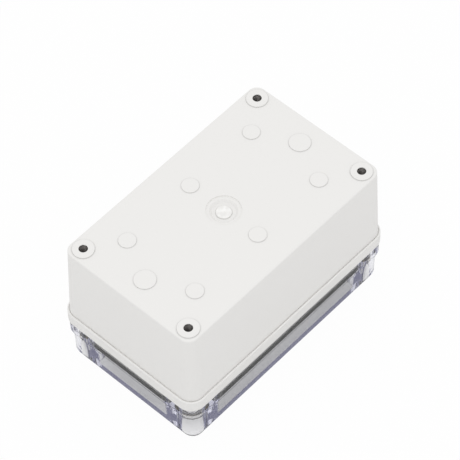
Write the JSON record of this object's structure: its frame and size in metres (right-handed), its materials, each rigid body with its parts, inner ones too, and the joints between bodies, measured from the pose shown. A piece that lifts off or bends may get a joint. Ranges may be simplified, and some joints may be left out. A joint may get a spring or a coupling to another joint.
{
  "type": "sealed plastic enclosure",
  "caption": "Rectangular light-grey plastic box with a clear screw-down lid, a gasket, corner screw columns, internal bosses and threaded mounting holes in its back.",
  "frame": {"origin": "centre of the lid's outer face, on which the enclosure lies", "axes": "+X along the length, +Y across the width, +Z out of the back of the base"},
  "size_m": [0.13, 0.08, 0.075],
  "materials": {
    "housing": "light grey, fine matt moulded texture",
    "clear_lid": "clear polycarbonate, glossy",
    "gasket": "soft dark grey elastomer",
    "seal_ring": "pale grey elastomer",
    "screw": "stainless steel, turned",
    "dark_insert": "plain dull steel",
    "brass_insert": "plain brass"
  },
  "bodies": {
    "lid": {"lid_cover": "clear_lid", "gasket": "gasket"},
    "base": {"base_shell": "housing", "lid_insert_1": "brass_insert", "lid_insert_2": "brass_insert", "lid_insert_3": "brass_insert", "lid_insert_4": "brass_insert", "mount_insert_1": "dark_insert", "mount_insert_2": "dark_insert", "mount_insert_3": "dark_insert", "mount_insert_4": "dark_insert", "board_insert_1": "brass_insert", "board_insert_2": "brass_insert", "board_insert_3": "brass_insert", "board_insert_4": "brass_insert", "board_insert_5": "brass_insert", "board_insert_6": "brass_insert", "plate_insert_1": "brass_insert", "plate_insert_2": "brass_insert"},
    "seal_1": {"screw_seal_1": "seal_ring"},
    "screw_1": {"lid_screw_1": "screw"},
    "seal_2": {"screw_seal_2": "seal_ring"},
    "screw_2": {"lid_screw_2": "screw"},
    "seal_3": {"screw_seal_3": "seal_ring"},
    "screw_3": {"lid_screw_3": "screw"},
    "seal_4": {"screw_seal_4": "seal_ring"},
    "screw_4": {"lid_screw_4": "screw"}
  },
  "joints": [
    {"name": "base_lift", "type": "slide", "parent": "lid", "child": "base", "axis": [0, 0, 1], "range_m": [0, 0.08]},
    {"name": "screw_travel_1", "type": "slide", "parent": "lid", "child": "seal_1", "axis": [0, 0, -1], "range_m": [0, 0.007]},
    {"name": "screw_turn_1", "type": "hinge", "parent": "seal_1", "child": "screw_1", "pos_m": [-0.056, -0.031, 0.014], "axis": [0, 0, -1], "range_deg": [0, 3600]},
    {"name": "screw_travel_2", "type": "slide", "parent": "lid", "child": "seal_2", "axis": [0, 0, -1], "range_m": [0, 0.007]},
    {"name": "screw_turn_2", "type": "hinge", "parent": "seal_2", "child": "screw_2", "pos_m": [0.056, -0.031, 0.014], "axis": [0, 0, -1], "range_deg": [0, 3600]},
    {"name": "screw_travel_3", "type": "slide", "parent": "lid", "child": "seal_3", "axis": [0, 0, -1], "range_m": [0, 0.007]},
    {"name": "screw_turn_3", "type": "hinge", "parent": "seal_3", "child": "screw_3", "pos_m": [0.056, 0.031, 0.014], "axis": [0, 0, -1], "range_deg": [0, 3600]},
    {"name": "screw_travel_4", "type": "slide", "parent": "lid", "child": "seal_4", "axis": [0, 0, -1], "range_m": [0, 0.007]},
    {"name": "screw_turn_4", "type": "hinge", "parent": "seal_4", "child": "screw_4", "pos_m": [-0.056, 0.031, 0.014], "axis": [0, 0, -1], "range_deg": [0, 3600]}
  ],
  "couplings": [
    {"joint": "screw_turn_1", "follows": "screw_travel_1", "rad_per_m": 8976},
    {"joint": "screw_turn_2", "follows": "screw_travel_2", "rad_per_m": 8976},
    {"joint": "screw_turn_3", "follows": "screw_travel_3", "rad_per_m": 8976},
    {"joint": "screw_turn_4", "follows": "screw_travel_4", "rad_per_m": 8976}
  ]
}
